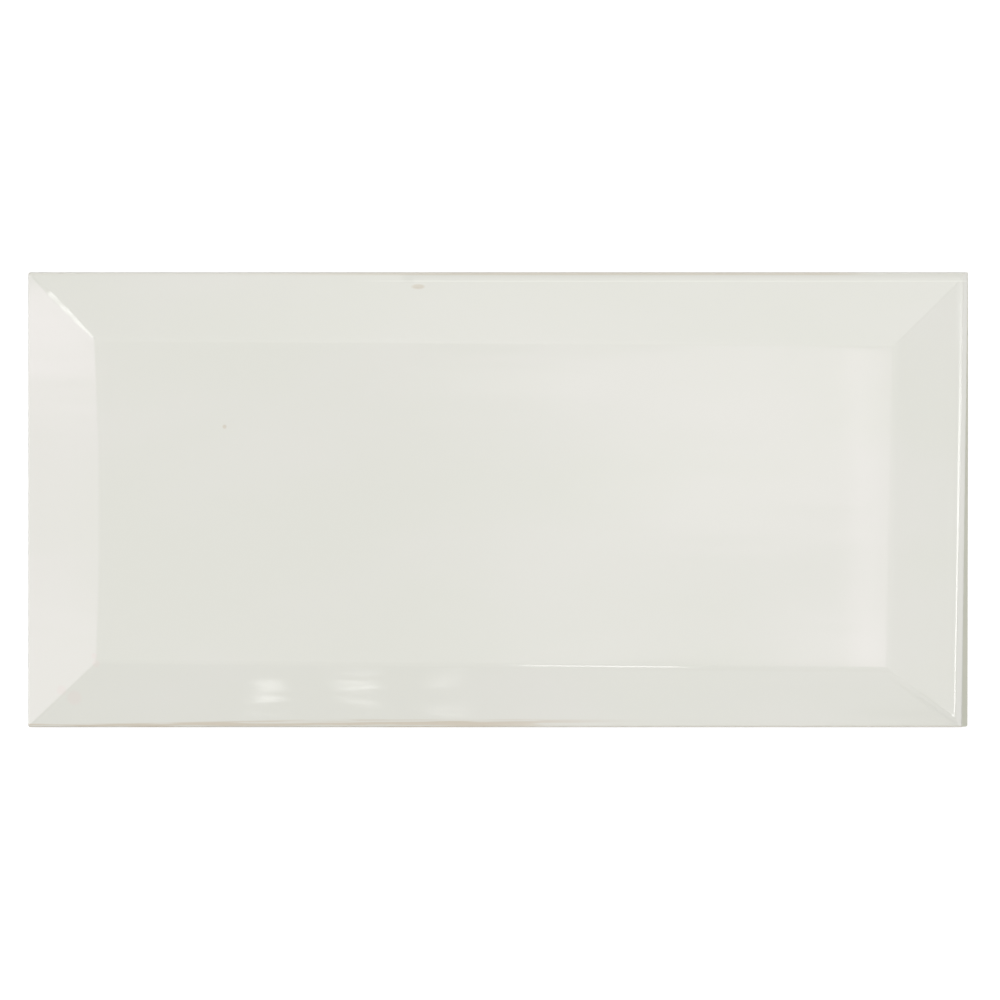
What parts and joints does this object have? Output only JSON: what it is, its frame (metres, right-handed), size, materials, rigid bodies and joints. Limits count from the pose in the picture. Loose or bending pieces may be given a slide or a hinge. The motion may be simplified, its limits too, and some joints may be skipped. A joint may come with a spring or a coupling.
{
  "type": "bevelled ceramic wall tile",
  "caption": "Rectangular glazed wall tile with a flat raised field, sloping mitred borders, a rolled outer edge and a keyed back.",
  "frame": {"origin": "middle of the back, in the plane of the ribs that the tile rests on", "axes": "+X along the tile's length, +Y across its width, +Z out of the glazed face"},
  "size_m": [0.15, 0.0726, 0.0075],
  "materials": {
    "glaze": "gloss off-white glaze over a pale fired body"
  },
  "bodies": {
    "root": {"tile": "glaze"}
  },
  "joints": []
}
